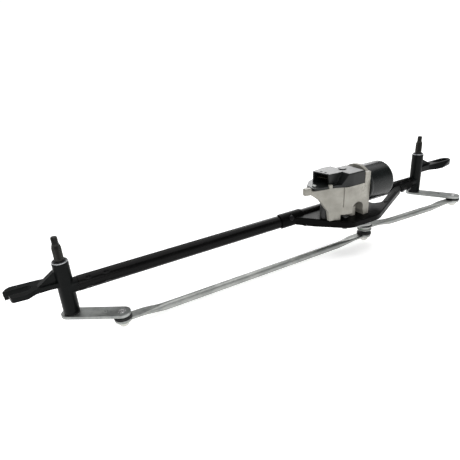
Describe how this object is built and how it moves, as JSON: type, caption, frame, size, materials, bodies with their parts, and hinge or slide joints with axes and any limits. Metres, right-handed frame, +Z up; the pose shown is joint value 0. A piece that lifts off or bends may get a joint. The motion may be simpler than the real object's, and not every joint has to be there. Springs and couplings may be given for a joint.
{
  "type": "windshield wiper drive",
  "caption": "Wiper drive: a black frame tube between pivot housings with knurled spindles, a gear motor on a stamped bracket, and a crank that swings levers through links.",
  "frame": {"origin": "on the left wiper spindle's axis, half way up the knurled land that takes the wiper arm", "axes": "+Z up along the wiper spindles, +X along the frame tube from the left pivot to the right pivot, +Y to the side away from the motor"},
  "size_m": [0.8932, 0.1132, 0.1588],
  "materials": {
    "frame_paint": "satin black paint",
    "housing_casting": "black coated die casting",
    "zinc_steel": "zinc plated, satin",
    "spindle_steel": "dark phosphated steel with fine knurling",
    "washer_steel": "bright turned steel",
    "socket_plastic": "off-white moulded plastic",
    "seal_rubber": "matt black rubber",
    "die_casting": "bare die casting, matt",
    "cover_plastic": "black moulded plastic, satin gloss",
    "motor_paint": "satin black paint",
    "bronze": "sintered bronze",
    "copper": "enamelled copper",
    "ferrite": "dark ferrite, graphite and lamination steel"
  },
  "bodies": {
    "frame": {"frame_tube": "frame_paint", "motor_bracket": "frame_paint", "bracket_rivets": "zinc_steel", "locating_pin": "zinc_steel", "gear_housing": "die_casting", "gear_cover": "cover_plastic", "output_bush": "bronze", "connector_pins": "bronze", "contact_plate": "cover_plastic", "cover_screws": "zinc_steel", "motor_mount_screws": "zinc_steel", "mount_standoff": "seal_rubber", "motor_can": "motor_paint", "motor_end_plate": "motor_paint", "can_screws": "zinc_steel", "magnets": "ferrite", "brush_plate": "socket_plastic", "brushes": "ferrite", "rear_armature_bearing": "bronze", "front_armature_bearing": "bronze", "left_pivot_housing": "housing_casting", "left_upper_bush": "bronze", "left_lower_bush": "bronze", "right_pivot_housing": "housing_casting", "right_upper_bush": "bronze", "right_lower_bush": "bronze"},
    "armature": {"armature_shaft": "washer_steel", "armature_core": "ferrite", "armature_windings": "copper", "commutator": "copper"},
    "crank": {"output_shaft": "washer_steel", "worm_wheel": "socket_plastic", "wheel_hub": "washer_steel", "crank_arm": "zinc_steel", "crank_nut": "zinc_steel", "crank_ball_pin": "zinc_steel"},
    "left_link": {"left_link": "zinc_steel", "left_lever_socket": "socket_plastic", "left_ball_stud": "zinc_steel", "left_lever_seal": "seal_rubber", "left_crank_socket": "socket_plastic", "left_crank_seal": "seal_rubber"},
    "right_link": {"right_link": "zinc_steel", "right_lever_socket": "socket_plastic", "right_ball_stud": "zinc_steel", "right_lever_seal": "seal_rubber", "right_crank_bush": "socket_plastic", "right_crank_seal": "seal_rubber"},
    "left_lever": {"left_lever": "zinc_steel", "left_lever_rivet": "zinc_steel", "left_spindle": "spindle_steel", "left_thrust_washer": "washer_steel", "left_retaining_ring": "washer_steel", "left_lower_seal": "seal_rubber"},
    "right_lever": {"right_lever": "zinc_steel", "right_lever_rivet": "zinc_steel", "right_spindle": "spindle_steel", "right_thrust_washer": "washer_steel", "right_retaining_ring": "washer_steel", "right_lower_seal": "seal_rubber"}
  },
  "joints": [
    {"name": "crank_turn", "type": "hinge", "parent": "frame", "child": "crank", "pos_m": [0.473, -0.024, -0.083], "axis": [0, 0, -1], "range_deg": [0, 157]},
    {"name": "armature_turn", "type": "hinge", "parent": "frame", "child": "armature", "pos_m": [0.5, -0.045, -0.0005], "axis": [1, 0, 0], "range_deg": [0, 6594]},
    {"name": "left_link_turn", "type": "hinge", "parent": "crank", "child": "left_link", "pos_m": [0.52204, -0.04462, -0.104], "axis": [0, 0, 1], "range_deg": [0, 161.79]},
    {"name": "right_link_turn", "type": "hinge", "parent": "crank", "child": "right_link", "pos_m": [0.52204, -0.04462, -0.088], "axis": [0, 0, 1], "range_deg": [0, 158.71]},
    {"name": "left_lever_swing", "type": "hinge", "parent": "frame", "child": "left_lever", "pos_m": [0, 0, 0], "axis": [0, 0, -1], "range_deg": [0, 91.94]},
    {"name": "right_lever_swing", "type": "hinge", "parent": "frame", "child": "right_lever", "pos_m": [0.714, 0, 0.0183], "axis": [0, 0, -1], "range_deg": [0, 88.43]}
  ],
  "couplings": [
    {"joint": "armature_turn", "follows": "crank_turn", "ratio": 42},
    {"joint": "left_link_turn", "follows": "crank_turn", "ratio": 1.0305},
    {"joint": "right_link_turn", "follows": "crank_turn", "ratio": 1.0109},
    {"joint": "left_lever_swing", "follows": "crank_turn", "ratio": 0.58559},
    {"joint": "right_lever_swing", "follows": "crank_turn", "ratio": 0.56328}
  ]
}
